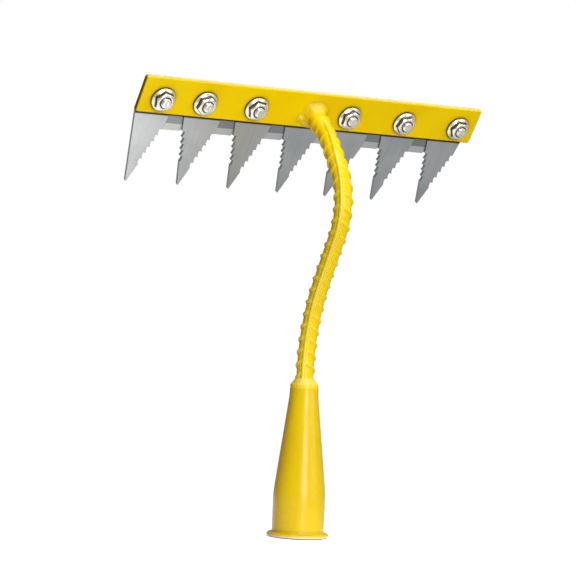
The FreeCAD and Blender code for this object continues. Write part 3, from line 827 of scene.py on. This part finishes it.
def makeFasteners():
    look = fastenerLook
    for number, (share, turn) in enumerate(zip(look["shares"], look["nutTurns"]), start=1):
        spot = headPlace @ Matrix.Translation(Vector((look["halfBar"] * share, -look["drop"], 0)) * mm)
        nut = lathe(f"flangeNut{number}", nutProfile, math.radians(turn), spot, closed=True)
        dress(nut, brightZinc, f"nut_{number}")
        shadedRows(nut, nutLook["shadedRows"])
        boltTurn = math.radians(look["boltTurn"] - turn)
        bolt = lathe(f"hexBolt{number}", boltProfile, boltTurn, spot, closed=False)
        dress(bolt, brightZinc, f"bolt_{number}")
        shadedRows(bolt, boltLook["shadedRows"])


makeFasteners()
print("head made")


# Stage

floorLook = {
    "radius": 0.42,
    "sides": 96,
    "paper": (linear(250, 250, 250), linear(244, 244, 244)),
    "roughness": 0.9,
    "mottleSize": 60,
    "mottleRange": (0.2, 0.8),
    "mottleShare": 0.2,
    "lift": 0.6,
    "fadeFrom": 0.3,
    "fadeEndShare": 0.97,
    "reflectFadeFrom": 0.0,  # the floor fades towards the right, down to a share of its cover, so the blade mirrors less of it there: painted reflection
    "reflectFadeTo": 0.09,
    "reflectFadeShare": 0.22,
}


def makeFloor():
    look = floorLook
    mesh = bmesh.new()
    bmesh.ops.create_circle(mesh, cap_ends=True, segments=look["sides"], radius=look["radius"])
    data = bpy.data.meshes.new("studioFloor")
    mesh.to_mesh(data)
    mesh.free()
    floor = bpy.data.objects.new("studioFloor", data)
    bpy.context.collection.objects.link(floor)
    # the paper lifts to white for the camera and fades out to the white backdrop
    paper = Finish("floorPaper", Roughness=look["roughness"], Emission_Strength=look["lift"])
    camera = paper.node("LightPath", {}, {}, "Is Camera Ray")
    glossy = paper.node("LightPath", {}, {}, "Is Glossy Ray")
    paper.feed("Emission Color", paper.mix(camera + glossy, linear(0, 0, 0), linear(255, 255, 255)))
    mottle = paper.ease(paper.noise(look["mottleSize"], 3), *look["mottleRange"])
    paper.feed("Base Color", paper.mix(mottle * look["mottleShare"], *look["paper"]))
    away = paper.node("VectorMath", {"operation": "LENGTH"}, {0: paper.place}, "Value")
    reflectFade = paper.ease(paper.axis("X"), look["reflectFadeFrom"], look["reflectFadeTo"], 1.0, look["reflectFadeShare"])
    edge = paper.ease(away, look["fadeFrom"], look["radius"] * look["fadeEndShare"], 1.0, 0.0)
    paper.feed("Alpha", reflectFade * edge)
    data.materials.append(paper.material)


lightLook = {
    "keyLight": {
        "place": (-0.24, -1.35, 0.36), "aim": (0, 0, 0.16), "width": 0.55, "height": 0.8, "watts": 11.2,
    },
    "sideLight": {
        "place": (0.72, -0.95, 0.3), "aim": (0, 0, 0.2), "width": 0.7, "height": 0.7, "watts": 2.4,
    },
    "topLight": {
        "place": (-0.1, -0.4, 1.25), "aim": (0, 0, 0.2), "width": 1.2, "height": 0.4, "watts": 10.5,
    },
    "backLight": {
        "place": (0.62, 0.4, 1.14), "aim": (0, 0, 0.22), "width": 0.5, "height": 0.4, "watts": 5.0,
    },
}


def makeLights():
    for name, look in lightLook.items():
        data = bpy.data.lights.new(name, "AREA")
        data.shape = "RECTANGLE"
        data.size = look["width"]
        data.size_y = look["height"]
        data.energy = look["watts"]
        lamp = bpy.data.objects.new(name, data)
        lamp.location = look["place"]
        towards = Vector(look["aim"]) - Vector(look["place"])
        lamp.rotation_euler = towards.to_track_quat("-Z", "Y").to_euler()
        bpy.context.collection.objects.link(lamp)


worldLook = {
    "glow": 0.12,
    "glossShare": 0.22,  # how much of the white backdrop the glossy rays see
}


def makeWorld():
    # plain white for the camera, softer light for the object
    world = bpy.data.worlds.new("studioWorld")
    bpy.context.scene.world = world
    world.use_nodes = True
    world.node_tree.nodes.clear()
    board = NodeBoard(world.node_tree)
    glow = board.node("Background", {}, {"Strength": worldLook["glow"]})
    white = board.node("Background", {}, {"Color": (1, 1, 1, 1)})
    camera = board.node("LightPath", {}, {}, "Is Camera Ray")
    glossy = board.node("LightPath", {}, {}, "Is Glossy Ray")
    seen = camera + glossy * worldLook["glossShare"]
    backdrop = board.node("MixShader", {}, {0: seen, 1: glow, 2: white})
    board.node("OutputWorld", {}, {"Surface": backdrop})


cameraLook = {
    "place": (-0.6692, -1.0522, 0.1323),
    "turn": (90.237, -2.745, -31.932),  # degrees
    "lens": 140.6,
    "sensor": 36,
    "farEnd": 50,
}


def makeCamera():
    data = bpy.data.cameras.new("photoCamera")
    data.lens = cameraLook["lens"]
    data.sensor_width = cameraLook["sensor"]
    data.clip_end = cameraLook["farEnd"]
    camera = bpy.data.objects.new("photoCamera", data)
    camera.location = cameraLook["place"]
    camera.rotation_euler = Euler([math.radians(angle) for angle in cameraLook["turn"]])
    bpy.context.collection.objects.link(camera)
    bpy.context.scene.camera = camera


makeFloor()
makeLights()
makeWorld()
makeCamera()
bpy.context.scene.view_settings.view_transform = "Standard"
print("stage made")
